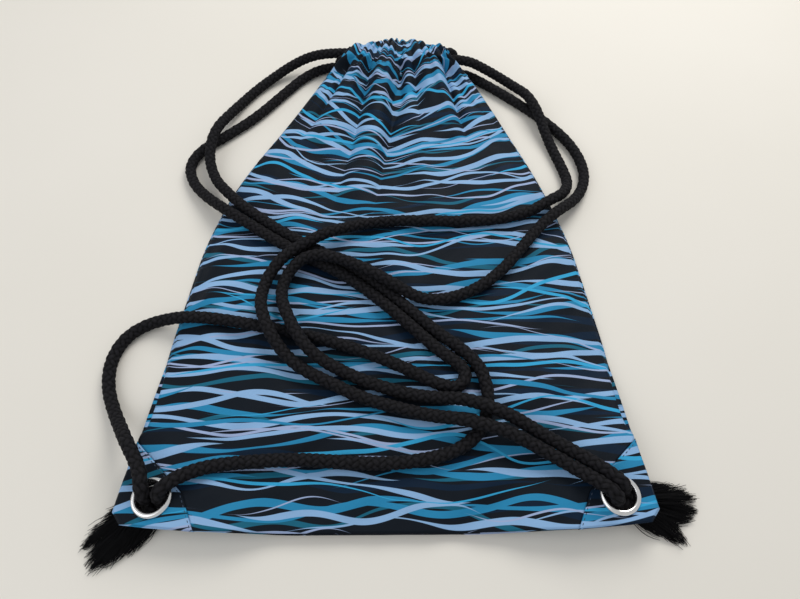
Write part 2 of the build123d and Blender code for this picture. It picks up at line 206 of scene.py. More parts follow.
def cloth_piece(node, grid, uv, material, thickness=CLOTH, closed=False, flip=False):
    """A node's cloth from a grid of points and their map, with its thickness below the surface."""
    faces = grid_faces(*grid[0].shape, closed)
    if flip:
        faces = [face[::-1] for face in faces]
    points, uv = [np.stack(values, axis=-1).reshape(-1, len(values)) for values in (grid, uv)]
    piece = mesh_object(f"{node}_cloth", points, faces, material, uv)
    modifier = piece.modifiers.new("Thickness", "SOLIDIFY")
    modifier.thickness = thickness
    modifier.offset = -1.0
    modifier.use_even_offset = False
    return ride_and_stand(piece, "bag", node)


# Materials


def new_material(name):
    material = bpy.data.materials.new(name)
    material.use_nodes = True
    tree = material.node_tree
    return material, tree, tree.nodes["Principled BSDF"]


def feed(socket, value):
    """A number or colour into a socket, or a link from another node."""
    if isinstance(value, bpy.types.NodeSocket):
        socket.id_data.links.new(value, socket)
    else:
        socket.default_value = value


def feed_all(node, values):
    """Feeds a node's inputs, by their names or numbers."""
    for name, value in values.items():
        feed(node.inputs[name], value)


def object_place(tree):
    return tree.nodes.new("ShaderNodeTexCoord").outputs["Object"]


def calc(tree, operation, *values, clamp=False):
    node = tree.nodes.new("ShaderNodeMath")
    node.operation = operation
    node.use_clamp = clamp
    feed_all(node, dict(enumerate(values)))
    return node.outputs[0]


def join(tree, *values):
    node = tree.nodes.new("ShaderNodeCombineXYZ")
    feed_all(node, dict(enumerate(values)))
    return node.outputs[0]


def noise(tree, vector, scale=1.0, detail=0.0, roughness=0.5):
    node = tree.nodes.new("ShaderNodeTexNoise")
    feed_all(node, {"Vector": vector, "Scale": scale, "Detail": detail, "Roughness": roughness})
    return node.outputs[0]


def random_of(tree, value):
    """A random number from 0 to 1 for each whole value."""
    node = tree.nodes.new("ShaderNodeTexWhiteNoise")
    node.noise_dimensions = "1D"
    feed(node.inputs["W"], value)
    return node.outputs["Value"]


def mix(tree, share, first, second):
    node = tree.nodes.new("ShaderNodeMix")
    node.data_type = "RGBA"
    feed_all(node, {0: share, 6: first, 7: second})
    return node.outputs[2]


def bump(tree, shader, height, distance, strength):
    node = tree.nodes.new("ShaderNodeBump")
    feed_all(node, {"Strength": strength, "Distance": distance, "Height": height})
    feed(shader.inputs["Normal"], node.outputs["Normal"])


WAVE = 0.088  # about half the length of a ribbon's waves
WANDER = 0.6  # how far a ribbon's place varies, as a share of its family's pitch
TAPER = 4.5  # how fast a ribbon narrows to its points
RIBBON_EDGE = 0.00022  # width over which a ribbon's edge fades

GROUND = (0.0046, 0.0068, 0.0115, 1)
NAVY = (0.003, 0.0125, 0.032, 1)
TEAL = (0.01, 0.12, 0.195, 1)
CERULEAN = (0.022, 0.23, 0.435, 1)
SKY = (0.036, 0.36, 0.64, 1)
PERIWINKLE = (0.258, 0.44, 0.695, 1)
LILAC = (0.33, 0.42, 0.64, 1)
WORN = (0.02, 0.06, 0.085, 1)
PRINT = [  # families of ribbons, the last on top: colour, seed, pitch, width, sway, cover
    (NAVY, 1, 0.021, 0.006, 0.013, 0.9),
    (TEAL, 2, 0.028, 0.004, 0.02, 0.8),
    (CERULEAN, 3, 0.024, 0.0054, 0.017, 0.9),
    (PERIWINKLE, 4, 0.021, 0.005, 0.015, 1.0),
    (LILAC, 8, 0.026, 0.0022, 0.019, 0.8),
    (CERULEAN, 5, 0.027, 0.0046, 0.021, 0.8),
    (PERIWINKLE, 6, 0.025, 0.0042, 0.019, 0.9),
    (SKY, 9, 0.034, 0.003, 0.023, 0.8),
    (LILAC, 7, 0.027, 0.0018, 0.02, 0.6),
]
THREAD_PITCH = 0.00062  # from thread to thread of the weave

# the pale colours are the lighter fibres and also the painted highlights on the yarn tops
CORD_DARK, CORD_PALE = (0.0003, 0.0003, 0.0005, 1), (0.016, 0.0155, 0.0185, 1)
FRAYED_DARK, FRAYED_PALE = (0.001, 0.001, 0.0013, 1), (0.02, 0.02, 0.024, 1)
NICKEL_DULL, NICKEL_BRIGHT = (0.72, 0.71, 0.69, 1), (0.9, 0.9, 0.89, 1)
THREAD_DARK, THREAD_PALE = (0.01, 0.02, 0.045, 1), (0.045, 0.075, 0.13, 1)
FLOOR_DARK, FLOOR_PALE = (0.72, 0.69, 0.62, 1), (0.78, 0.75, 0.69, 1)


def ribbons(tree, across, up, seed, pitch, width, sway, cover):
    """How much one family of long wavy ribbons covers a spot, from 0 to 1.

    pitch is the space between ribbons, sway the size of their waves, and cover how much of their
    length shows. Only the two ribbons nearest to a spot are drawn there.
    """
    covers = []
    for near in (-0.5, 0.5):
        cell = calc(tree, "FLOOR", calc(tree, "MULTIPLY_ADD", up, 1 / pitch, near))
        luck = random_of(tree, calc(tree, "ADD", cell, 31.7 * seed))
        start = calc(tree, "ADD", cell, (1 - WANDER) / 2)
        home = calc(tree, "MULTIPLY", calc(tree, "MULTIPLY_ADD", luck, WANDER, start), pitch)
        own = calc(tree, "MULTIPLY_ADD", cell, 3.7, 11.3 * seed)
        drift = calc(tree, "MULTIPLY_ADD", luck, 40.0, calc(tree, "DIVIDE", across, WAVE))
        wave = calc(tree, "MULTIPLY_ADD", noise(tree, join(tree, drift, own)), 2 * sway, -sway)
        away = calc(tree, "ABSOLUTE", calc(tree, "SUBTRACT", up, calc(tree, "ADD", home, wave)))
        taper = noise(tree, join(tree, calc(tree, "MULTIPLY", drift, 0.8), own, 5.0))
        half = calc(tree, "MULTIPLY_ADD", taper, TAPER, TAPER * (0.3 * cover - 0.62), clamp=True)
        gap = calc(tree, "MULTIPLY_ADD", half, width / 2, calc(tree, "MULTIPLY", away, -1.0))
        covers.append(calc(tree, "DIVIDE", gap, RIBBON_EDGE, clamp=True))
    return calc(tree, "MAXIMUM", *covers)


def cloth_material(name, turn=0.0, shift=(0.0, 0.0)):
    """Printed cloth: tapering wavy ribbons in blues on charcoal, in the cloth's own map."""
    material, tree, shader = new_material(name)
    uv = tree.nodes.new("ShaderNodeUVMap")
    uv.uv_map = "Cloth"
    place = tree.nodes.new("ShaderNodeMapping")
    feed_all(place, {"Vector": uv.outputs[0], "Location": (*shift, 0), "Rotation": (0, 0, turn)})
    parts = tree.nodes.new("ShaderNodeSeparateXYZ")
    feed(parts.inputs[0], place.outputs[0])
    across, up = parts.outputs[:2]
    colour = GROUND
    for tint, *shape in PRINT:
        colour = mix(tree, ribbons(tree, across, up, *shape), colour, tint)
    worn = noise(tree, join(tree, across, up), 24, 3, 0.6)
    colour = mix(tree, calc(tree, "MULTIPLY", worn, 0.06), colour, WORN)
    thread = math.tau / THREAD_PITCH
    threads = [calc(tree, "SINE", calc(tree, "MULTIPLY", way, thread)) for way in (across, up)]
    weave = calc(tree, "MULTIPLY", *threads)
    crumple = noise(tree, join(tree, across, up), 150, 3, 0.55)
    height = calc(tree, "MULTIPLY_ADD", crumple, 5.0, calc(tree, "MULTIPLY", weave, 0.5))
    bump(tree, shader, height, 0.00012, 0.5)
    feed_all(shader, {
        "Base Color": colour, "Roughness": calc(tree, "MULTIPLY_ADD", worn, 0.22, 0.46),
        "Sheen Weight": 0.02, "Sheen Roughness": 0.4, "Specular IOR Level": 0.09,
    })
    return material


def cord_material(name, dark, pale):
    """Soft black yarn: fine fibres and lint, with painted highlights on the tops of the braid's yarns and
    painted shade in the gaps between them.
    """
    material, tree, shader = new_material(name)
    place = object_place(tree)
    fibre = noise(tree, place, 2600, 3, 0.7)
    lint = noise(tree, place, 420, 4, 0.75)
    relief = tree.nodes.new("ShaderNodeAttribute")
    relief.attribute_name = "Relief"
    # painted highlight and shade: the braid's relief makes the yarn tops paler and the gaps between yarns
    # darker
    top = calc(tree, "MULTIPLY_ADD", relief.outputs["Fac"], 2.2, -1.1, clamp=True)
    share = calc(tree, "MULTIPLY", fibre, lint)
    share = calc(tree, "MULTIPLY", share, calc(tree, "MULTIPLY_ADD", top, 2.4, 0.4))
    feed_all(shader, {
        "Base Color": mix(tree, share, dark, pale),
        "Roughness": calc(tree, "MULTIPLY_ADD", lint, 0.25, 0.62),
        "Sheen Weight": 0.005, "Sheen Roughness": 0.35, "Specular IOR Level": 0.11,
    })
    bump(tree, shader, fibre, 0.00022, 0.7)
    return material


def nickel_material():
    """Bright nickel plate with faint scratches and dull patches."""
    material, tree, shader = new_material("nickel")
    place = object_place(tree)
    patches = noise(tree, place, 160, 4, 0.6)
    scratches = noise(tree, place, 1500, 2, 0.8)
    tint = mix(tree, patches, NICKEL_DULL, NICKEL_BRIGHT)
    rough = calc(tree, "MULTIPLY_ADD", patches, 0.16, 0.1)
    feed_all(shader, {"Base Color": tint, "Roughness": rough, "Metallic": 1.0})
    bump(tree, shader, scratches, 0.00003, 0.35)
    return material


def thread_material():
    """Dark sewing thread with its twist."""
    material, tree, shader = new_material("thread")
    place = object_place(tree)
    twist = noise(tree, place, 3000, 2, 0.6)
    feed_all(shader, {"Base Color": mix(tree, twist, THREAD_DARK, THREAD_PALE), "Roughness": 0.6})
    bump(tree, shader, twist, 0.0001, 0.6)
    return material


def floor_material():
    """A matt pale surface with faint clouds of warmth."""
    material, tree, shader = new_material("floor")
    place = object_place(tree)
    cloud = noise(tree, place, 3, 3, 0.5)
    feed_all(shader, {"Base Color": mix(tree, cloud, FLOOR_DARK, FLOOR_PALE), "Roughness": 0.7})
    return material


# Camera, lights and floor


CAMERA = (0.00755, -0.31124, 0.42496)
YAW, PITCH, ROLL = math.radians(0.475), math.radians(59.0), math.radians(0.149)
LENS = 28.26  # mm, on a sensor 36 mm wide
FLOOR_HALF = 3.0


def make_camera():
    """Looks down at the bag from beyond its bottom edge."""
    data = bpy.data.cameras.new("camera")
    data.sensor_width = 36
    data.lens = LENS
    data.clip_start = 0.01
    camera = add_object("camera", data)
    level = Matrix.Rotation(-YAW, 4, "Z") @ Matrix.Rotation(math.pi / 2 - PITCH, 4, "X")
    camera.matrix_world = Matrix.Translation(CAMERA) @ level @ Matrix.Rotation(ROLL, 4, "Z")
    bpy.context.scene.camera = camera


def make_light(name, place, size, power, colour):
    data = bpy.data.lights.new(name, "AREA")
    data.shape = "DISK"
    data.size = size
    data.energy = power
    data.color = colour
    light = add_object(name, data)
    light.location = place
    light.rotation_mode = "QUATERNION"
    light.rotation_quaternion = (-Vector(place)).to_track_quat("-Z", "Y")


def make_stage():
    """A plain pale floor under soft light, a little stronger from behind and the right."""
    make_light("window", (0.45, 0.95, 1.05), 0.9, 12.5, (1.0, 0.98, 0.94))
    make_light("fill", (-0.9, -0.5, 1.0), 1.4, 5, (0.95, 0.97, 1.0))
    world = bpy.data.worlds.new("studio")
    world.use_nodes = True
    background = world.node_tree.nodes["Background"]
    feed_all(background, {"Color": (0.97, 0.98, 1.0, 1), "Strength": 0.55})
    bpy.context.scene.world = world
    corners = [(x * FLOOR_HALF, y * FLOOR_HALF, 0) for x, y in ((-1, -1), (1, -1), (1, 1), (-1, 1))]
    mesh_object("floor", corners, [(0, 1, 2, 3)], floor_material())


# Cords


def route_line(points):
    """Points along the smooth line that a route's control points give."""
    curve = bpy.data.curves.new("route", "CURVE")
    curve.dimensions = "3D"
    spline = curve.splines.new("NURBS")
    spline.points.add(len(points) - 1)
    for point, place in zip(spline.points, points):
        point.co = (*place, 1)
    spline.order_u = 3
    spline.use_endpoint_u = True
    curve.resolution_u = 16
    holder = bpy.data.objects.new("route", curve)
    mesh = bpy.data.meshes.new_from_object(holder)
    line = np.array([vertex.co for vertex in mesh.vertices])
    bpy.data.meshes.remove(mesh)
    bpy.data.curves.remove(curve)
    return line


def evenly(line, step):
    """The same line with its points one step apart."""
    along = run_along(line)
    at = np.linspace(0, along[-1], max(3, round(along[-1] / step) + 1))
    return np.stack([np.interp(at, along, line[:, k]) for k in range(3)], axis=1)


def rings(line, around):
    """Unit directions round each point of a line, carried along it without twisting."""
    ahead = np.gradient(line, axis=0)
    ahead /= np.linalg.norm(ahead, axis=1)[:, None]
    side = np.cross(ahead[0], (0, 0, 1))
    sides = []
    for direction in ahead:
        side = side - direction * (side @ direction)
        side = side / np.linalg.norm(side)
        sides.append(side)
    sides = np.array(sides)
    others = np.cross(ahead, sides)
    angle = full_turn(around)
    return sides[:, None] * np.cos(angle)[None, :, None] + others[:, None] * np.sin(angle)[None, :, None]


YARNS = 6  # in each direction round the cord
YARN_STEP = 0.0044  # from yarn to yarn along the cord
BRAID_RELIEF = 0.0012  # from the gaps between the yarns to their tops
BRAID_SINK = 0.00095  # how far the gaps lie under the cord's mean surface


def braid_height(along, turn):
    """How far a round braid's surface stands out where each yarn passes over two and under two."""
    lean = turn * YARNS / math.tau
    right, left = along / YARN_STEP + lean, along / YARN_STEP - lean

    def yarn(place, other, over):
        middle = 2 * (place - np.floor(place)) - 1
        section = np.sqrt(np.clip(1 - middle**2, 0, 1))
        lift = np.cos(math.pi / 2 * (np.mod(other + np.floor(place), 4) - over))
        return 0.62 * section + 0.5 * lift

    return np.maximum(yarn(right, left, 1), yarn(left, right, 3))


def braided(name, line, material, around=40, step=0.00068, diameter=CORD):
    """A braided cord as one closed mesh along a line, with both ends capped."""
    line = evenly(line, step)
    out = rings(line, around)
    along = np.arange(len(line))[:, None] * np.linalg.norm(line[1] - line[0])
    turn = full_turn(around)[None, :]
    relief = braid_height(along, turn)
    radius = diameter / 2 - BRAID_SINK + BRAID_RELIEF * relief
    points = (line[:, None] + out * radius[..., None]).reshape(-1, 3)
    points[:, 2] = np.maximum(points[:, 2], LOWEST)
    faces = [face[::-1] for face in tube_faces(len(line), around)]
    piece = mesh_object(name, points, faces, material)
    # the relief also drives the cord material's painted highlights on the yarn tops and painted shade in
    # the gaps
    piece.data.attributes.new("Relief", "FLOAT", "POINT").data.foreach_set("value", relief.ravel())
    return piece


def make_strands(material):
    """The four free strands and their lines."""
    made = {}
    for name, points in (
        ("left_cord_inner", LEFT_CORD_INNER),
        ("left_cord_outer", LEFT_CORD_OUTER),
        ("right_cord_inner", RIGHT_CORD_INNER),
        ("right_cord_outer", RIGHT_CORD_OUTER),
    ):
        line = route_line(np.array(points) / 1000)
        piece = ride_and_stand(braided(f"{name}_braid", line, material), "bag", name)
        made[name] = (piece, line)
    return made


def make_cased_cords(material):
    """The hidden stretch of each cord: along one channel, round the side seam, back along the other."""
    for side in ("left", "right"):
        name = f"{side}_cord_in_casing"
        low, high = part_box(name)
        lane = (low.y + high.y) / 2
        back, front = low.z + CORD / 2, high.z - CORD / 2
        start, far, edge = CASING_LEFT, CASING_RIGHT, high.x - CORD / 2
        if side == "right":
            start, far, edge = CASING_RIGHT, CASING_LEFT, low.x + CORD / 2
        run = (start, (start + far) / 2, far, edge)
        route = [(x, lane, front) for x in run] + [(x, lane, back) for x in reversed(run)]
        braid = braided(f"{name}_braid", route_line(route), material, around=32)
        ride_and_stand(braid, "bag", name)


# Cloth


def steady(x, knots, values, reach):
    """Values between knots, with the corners rounded over a reach."""
    nudges = np.linspace(-reach, reach, 9)
    return np.mean([np.interp(np.clip(x + n, knots[0], knots[-1]), knots, values) for n in nudges], axis=0)


def panel_edges(height):
    """Left and right edges of a panel at a height over its bottom edge."""
    table = np.array(OUTLINE)
    above = table[table[:, 0] >= SEAM_END - 1e-6]
    edges = []
    for column in (1, 2):
        straight = np.interp(height, table[:, 0], table[:, column])
        curved = steady(height, above[:, 0], above[:, column], 0.018)
        share = smoothstep(SEAM_END + 0.015, SEAM_END + 0.045, height)
        share = share * (1 - smoothstep(PANEL_HEIGHT - 0.03, PANEL_HEIGHT, height))
        edges.append(straight + (curved - straight) * share)
    return edges


def node_height(node, x, y):
    """Height of a CAD node's upper surface at points, or of its nearest spot beside the node."""
    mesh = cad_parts[node].data
    tree = BVHTree.FromPolygons([v.co for v in mesh.vertices], [tuple(p.vertices) for p in mesh.polygons])
    heights = []
    for place in zip(x.ravel(), y.ravel()):
        hit = tree.ray_cast((*place, 1), (0, 0, -1))[0] or tree.find_nearest((*place, 0.01))[0]
        heights.append(hit.z)
    return np.reshape(heights, x.shape)


def blurred(values, reach):
    """Values of a grid averaged with their neighbours, reach cells each way."""
    weights = np.exp(-0.5 * (np.arange(-2 * reach, 2 * reach + 1) / reach) ** 2)
    weights /= weights.sum()
    for axis in (0, 1):
        margins = [(2 * reach, 2 * reach) if k == axis else (0, 0) for k in (0, 1)]
        padded, count = np.pad(values, margins, "edge"), values.shape[axis]
        values = sum(w * np.take(padded, range(k, k + count), axis=axis) for k, w in enumerate(weights))
    return values


def from_edge(share):
    """Distance on the cloth from a panel's nearer side edge."""
    return np.minimum(1 - share, 1 + share) * FLAT_WIDTH / 2


def rim_height(height, above_middle):
    """Height of a layer's side edges, which lift towards the middle of the drawn mouth."""
    return RIM + (MIDDLE_Z + above_middle - RIM) * smoothstep(0.33, 0.422, height)


def crease_lines(left, right, height):
    """Where the creases and side edges run, how strong each is there, and how deep."""
    side_strength = np.clip((height - SIDE_FADE) / (PANEL_HEIGHT - SIDE_FADE), 0, 1) ** CREASE_FADE
    lines, strengths, depths = [left], [side_strength], [0 * left]
    for top_x, end_x, end, depth in CREASES:
        reach = (height - end) / (PANEL_HEIGHT - end)
        strength = np.clip(reach, 0, 1) ** CREASE_FADE
        lines.append(end_x + (top_x - end_x) * np.clip(reach, -0.3, 1))
        strengths.append(strength)
        depths.append(depth * strength)
    return [*lines, right], [*strengths, side_strength], [*depths, 0 * right]


def pleats(x, height):
    """Rise of the pleats, which are rounded between sharp creases and die out below the mouth."""
    lines, strengths, depths = crease_lines(*panel_edges(height), height)
    rise = np.zeros(x.shape)
    for k, (lift, peak) in enumerate(PLEATS):
        start, end = lines[k], np.maximum(lines[k + 1], lines[k] + 1e-4)
        t = (x - start) / (end - start)
        slope = np.clip(np.where(t < peak, t / peak, (1 - t) / (1 - peak)), 0, 1)
        dome = lift * np.minimum(strengths[k], strengths[k + 1]) * (1 - (1 - slope) ** PLEAT_ROUND)
        valley = depths[k] + (depths[k + 1] - depths[k]) * np.clip(t, 0, 1)
        valley = valley * (1 - 0.4 * smoothstep(0.385, PANEL_HEIGHT, height))
        rise = np.where((t >= 0) & (t < 1), dome - valley, rise)
    return rise


def pucker_phase(share):
    """The angle of the small gathers, uneven across the mouth."""
    uneven = share + 0.05 * np.sin(5.1 * share + 1.0) + 0.022 * np.sin(12.7 * share)
    return math.pi * PUCKERS * uneven


def waves(x, y, size, length, seed):
    """Soft uneven dents and swells."""
    total = np.zeros(x.shape)
    turn = np.random.default_rng(seed)
    for _ in range(7):
        heading, phase = turn.uniform(0, math.pi), turn.uniform(0, math.tau)
        pace = math.tau / (length * turn.uniform(0.6, 1.6))
        total += np.sin(pace * (x * math.cos(heading) + y * math.sin(heading)) + phase)
    return size * total / 7**0.5


def cord_floor(x, y, lines):
    """The highest that cloth may be at points under the cords, and how far the nearest cord is."""
    tree = KDTree(sum(len(line) for line in lines))
    spots = np.concatenate(lines)
    for k, spot in enumerate(spots):
        tree.insert((spot[0], spot[1], 0), k)
    tree.balance()
    reach = CORD / 2 + 0.0012
    limit = np.full(x.size, 1.0)
    away = np.zeros(x.size)
    for k, place in enumerate(zip(x.ravel(), y.ravel())):
        for _, index, far in tree.find_range((*place, 0), reach):
            drop = math.sqrt(reach**2 - far**2)
            limit[k] = min(limit[k], spots[index][2] - drop)
        away[k] = tree.find((*place, 0))[2]
    return limit.reshape(x.shape), away.reshape(x.shape)


def cloth_map(share, x, height, rise):
    """Where each point of a grid lies on the cut cloth: across and up."""
    run = np.hypot(np.diff(x, axis=1), np.diff(rise, axis=1))
    across = np.concatenate([np.zeros((len(x), 1)), np.cumsum(run, axis=1)], axis=1)
    whole = across[:, -1:]
    across = across - whole / 2
    slack = np.maximum(1, FLAT_WIDTH / whole) ** 0.9
    up = height - steady(height, *zip(*SAG), 0.015) * share**2
    return across * slack, up


def panel_grid(step):
    """Even rows and columns of points over a panel: x, height and share across."""
    heights = np.linspace(0, PANEL_HEIGHT, round(PANEL_HEIGHT / step) + 1)[:, None]
    shares = np.linspace(-1, 1, round(FLAT_WIDTH / step) + 1)[None, :]
    left, right = panel_edges(heights)
    x = (left + right) / 2 + shares * (right - left) / 2
    return x, heights + 0 * x, shares + 0 * x


def make_front_panel(material, lines):
    """The patterned front: slack over the empty bag, gathered into folds at the mouth."""
    x, height, share = panel_grid(0.0021)
    y = height + BOTTOM
    z = blurred(node_height("front_panel", x, y), 3)
    edge = from_edge(share)
    above_seam = smoothstep(SEAM_END, SEAM_END + 0.03, height)
    rim = rim_height(height, LAYER_GAP)
    z = np.maximum(z, rim)
    z = z + (rim - z) * above_seam * (1 - smoothstep(0.0, 0.0045, edge))
    inside = smoothstep(0.0, 0.022, edge)
    rise = pleats(x, height)
    near_mouth = smoothstep(PANEL_HEIGHT - 0.055, PANEL_HEIGHT, height)
    rise += 0.0011 * near_mouth * np.sin(pucker_phase(share)) * inside
    limit, away = cord_floor(x, y, lines)
    swell = waves(x, y, 0.0009, 0.055, 3) + waves(x, y, 0.0006, 0.024, 11)
    puff = 0.0016 * smoothstep(0.004, 0.02, away) * (1 - smoothstep(0.25, 0.3, height))
    rise += (swell + puff) * inside
    z = np.minimum(z + rise, limit)
    z = np.maximum(z, np.minimum(rim, limit))
    across, up = cloth_map(share, x, height, z)
    piece = cloth_piece("front_panel", (x, y, z), (across, up), material)
    return piece, (x[-1], z[-1], across[-1], up[-1])


def make_back_panel(material):
    """The back, flat on the surface apart from its lifted corners and the gathers at the mouth."""
    x, height, share = panel_grid(0.0032)
    y = height + BOTTOM
    z = blurred(node_height("back_panel", x, y), 2) - 0.0003
    edge = from_edge(share)
    inside = smoothstep(0.0, 0.015, edge)
    near_mouth = smoothstep(PANEL_HEIGHT - 0.09, PANEL_HEIGHT, height)
    rise = 0.0022 * near_mouth * (1 + np.sin(pucker_phase(share) + 0.8)) * inside
    rise += np.abs(waves(x, y, 0.0004, 0.05, 5)) * inside
    lift = rim_height(height, 0.0012 - LAYER_GAP) - 0.0012 - z
    near_edge = (1 - smoothstep(0.0, 0.03, edge)) ** 2 * smoothstep(0.3, 0.34, height)
    z = z + rise + np.maximum(lift, 0) * near_edge
    z = np.maximum(z, CLOTH + 0.0002)
    across, up = cloth_map(share, x, height, z)
    piece = cloth_piece("back_panel", (x, y, z), (-across, up), material)
    return piece, (x[-1], z[-1], across[-1], up[-1])


# By height over the bottom edge: left and right limits of the casing's outer layer, and how far its
# sides close round the mouth, which is 0 where the cords come out
CASING_SHAPE = [
    (0.418, -0.06, 0.077, 1.0), (0.424, -0.056, 0.073, 1.0), (0.4285, -0.052, 0.068, 0.8),
    (0.432, -0.0455, 0.061, 0.0), (0.44, -0.0425, 0.0585, 0.0), (0.449, -0.0375, 0.054, 0.0),
    (0.453, -0.034, 0.051, 0.7), (0.464, -0.027, 0.045, 1.0),
]
# By height: how far the casing stands out from the mouth's middle, as a share of its crest there
CASING_RISE = [(0.418, 0.58), (0.4215, 0.7), (0.427, 0.93), (0.431, 1.0), (0.4485, 1.0), (0.452, 0.84),
               (0.457, 0.96), (0.464, 0.72)]
CHANNEL_END = 0.4525  # height where the channels end and the ruffle starts
HEM_TOP = 0.464  # height of the fold at the top of the ruffle
HEM_FOLD = 0.0032  # space between the layers there
# By height: how much of the panel's pleats the casing keeps, and the size of its own small gathers
PLEATS_KEPT = [(0.418, 1.0), (0.43, 0.6), (0.45, 0.45), (HEM_TOP, 0.12)]
RUFFLES = [(0.418, 0.0014), (0.43, 0.0018), (0.45, 0.002), (0.457, 0.0024), (HEM_TOP, 0.0018)]
# By height: left and right limits of the casing's inner layer
INNER_SHAPE = [(0.418, -0.04, 0.056), (0.44, -0.04, 0.056), (CHANNEL_END, -0.034, 0.051),
               (HEM_TOP, -0.027, 0.045)]
OUTER_ROWS, INNER_ROWS, CASING_COLUMNS = 36, 26, 260


def by_height(height, table):
    """The values of a table at heights, which are its first column."""
    knots, *columns = zip(*table)
    return [np.interp(height, knots, values) for values in columns]


def gathers(height, columns, sign):
    """The angle of the casing's small gathers, how loose they are, and how far they stand out."""
    loose = smoothstep(CHANNEL_END - 0.002, CHANNEL_END + 0.005, height)
    phase = pucker_phase(columns) + 25 * (height - PANEL_HEIGHT) * np.sin(3 * columns + sign)
    tucks = 2 * np.sqrt(np.sin(phase / 2) ** 2 + 0.05) - 1.3
    frill = 2 * np.sqrt(np.sin(0.42 * phase + 0.9 * sign) ** 2 + 0.2) - 1.5
    return phase, loose, tucks * (1 - loose) + frill * loose + 0.2 * np.sin(0.37 * phase + 1)


def outer_rise(x, height, low, high, folds, loose, gather, front):
    """How far the outer layer stands out from the mouth's middle."""
    crest = CASING_CREST - MIDDLE_Z - CLOTH
    rise = crest * steady(height, *zip(*CASING_RISE), 0.0015) * (1 if front else 1 - 0.65 * loose)
    rise = rise + folds * by_height(height, PLEATS_KEPT)[0]
    rise = rise + gather * by_height(height, RUFFLES)[0] * (1 if front else 0.5)
    over_cords = smoothstep(0.4275, 0.4305, height) * (1 - loose)
    rise = np.where(over_cords > 0.5, np.maximum(rise, crest), rise)
    inset = np.minimum(x - low, high - x)
    roundness = 0.014 + 0.02 * loose
    curl = np.sqrt(np.clip(1 - (1 - np.clip(inset / roundness, 0, 1)) ** 2, 0, 1))
    return rise * (1 - by_height(height, CASING_SHAPE)[2] * (1 - curl))


def outer_layer(columns, along, began, front):
    """Rows of the layer that shows, from the panel over the channels to the top of the ruffle."""
    sign = 1 if front else -1
    height = np.linspace(PANEL_HEIGHT, HEM_TOP, OUTER_ROWS)[:, None]
    low, high, _ = by_height(height, CASING_SHAPE)
    share = smoothstep(PANEL_HEIGHT, PANEL_HEIGHT + 0.012, height)
    x = along * (1 - share) + ((low + high) / 2 + columns * (high - low) / 2) * share
    phase, loose, gather = gathers(height, columns, sign)
    folds = pleats(along, PANEL_HEIGHT + 0 * along)
    folds = folds if front else 0.4 * folds[::-1]
    rise = outer_rise(x, height, low, high, folds, loose, gather, front)
    share = smoothstep(PANEL_HEIGHT, PANEL_HEIGHT + 0.01, height)
    z = began * (1 - share) + (MIDDLE_Z + sign * np.maximum(rise, LAYER_GAP)) * share
    beyond = np.maximum(height - CHANNEL_END, 0)
    droop = np.minimum(0.35 * columns**2 + columns**4, 0.8)
    ragged = 0.0005 * gather + 0.0004 * np.sin(0.6 * phase) - 0.0012
    y = BOTTOM + height - beyond * droop + ragged * smoothstep(CHANNEL_END, HEM_TOP, height)
    return height, x, y, z


def inner_layer(columns, outer, sign):
    """Rows of the layer inside the mouth, from the fold of the ruffle back down under the cords."""
    outer_height, _, outer_y, outer_z = outer
    height = np.linspace(HEM_TOP, PANEL_HEIGHT, INNER_ROWS)[1:, None]
    low, high = by_height(height, INNER_SHAPE)
    x = (low + high) / 2 + columns * (high - low) / 2
    rows = np.interp(height[:, 0], outer_height[:, 0], np.arange(OUTER_ROWS))
    near = np.round(rows).astype(int)
    hem = smoothstep(0.449, 0.4545, height)
    limit = sign * (outer_z[near] - MIDDLE_Z)
    slack = 0.003 + 0.0004 * np.sin(pucker_phase(columns) * 0.5)
    rise = slack * (1 - hem) + np.maximum(limit - HEM_FOLD, 0.0004) * hem
    rise = np.maximum(np.minimum(rise, limit - 0.0012), 0.0002)
    y = BOTTOM + height + (outer_y[near] - BOTTOM - outer_height[near]) * hem - 0.0004
    return height, x, y, MIDDLE_Z + sign * rise


def make_casing(node, material, start, front):
    """The hem that the cords run in: out from the panel, over the ruffle and back inside."""
    sign = 1 if front else -1
    columns = np.linspace(-1, 1, CASING_COLUMNS)[None, :]
    shares = np.linspace(-1, 1, len(start[0]))
    along, began, start_u, start_v = [np.interp(columns[0], shares, values) for values in start]
    outer = outer_layer(columns, along, began, front)
    inner = inner_layer(columns, outer, sign)
    height, x, y, z = outer
    turn = np.array([math.pi / 6, math.pi / 3, math.pi / 2, math.tau / 3])[:, None]
    bend = np.minimum(HEM_FOLD, sign * (z[-1:] - MIDDLE_Z) - 0.0003) / 2
    x = np.concatenate([x, x[-1:] + 0 * turn, inner[1]])
    y = np.concatenate([y, y[-1:] + bend * np.sin(turn), inner[2]])
    z = np.concatenate([z, z[-1:] - sign * bend * (1 - np.cos(turn)), inner[3]])
    z = np.maximum(z, CLOTH + 0.0002)
    run = np.concatenate([height, HEM_TOP + HEM_FOLD / 2 * turn, 2 * HEM_TOP + 0.0055 - inner[0]])
    uv = (start_u + 0 * x, start_v + run - PANEL_HEIGHT)
    piece = cloth_piece(node, (x, y, z), uv, material, HEM_CLOTH, flip=not front)
    return piece, (x[:OUTER_ROWS], y[:OUTER_ROWS], z[:OUTER_ROWS])


# Section of a folded seam allowance: distance from the edge and height
SEAM_SECTION = [(0.0003, 0.0013), (0.0022, 0.00125), (0.0039, 0.0014), (0.0042, 0.0021),
                (0.0039, 0.0028), (0.0022, 0.0031), (0.0003, 0.0029)]
SIDE_SEAM_START = 0.1276  # height where the side seams start, over the corner pieces


def make_seam(name, rows, points, uv, material):
    """One folded allowance, from the rows of points of its section."""
    faces = grid_faces(rows, len(SEAM_SECTION), closed=True)
    ride_and_stand(mesh_object(f"{name}_fold", points, faces, material, uv), "bag", name)


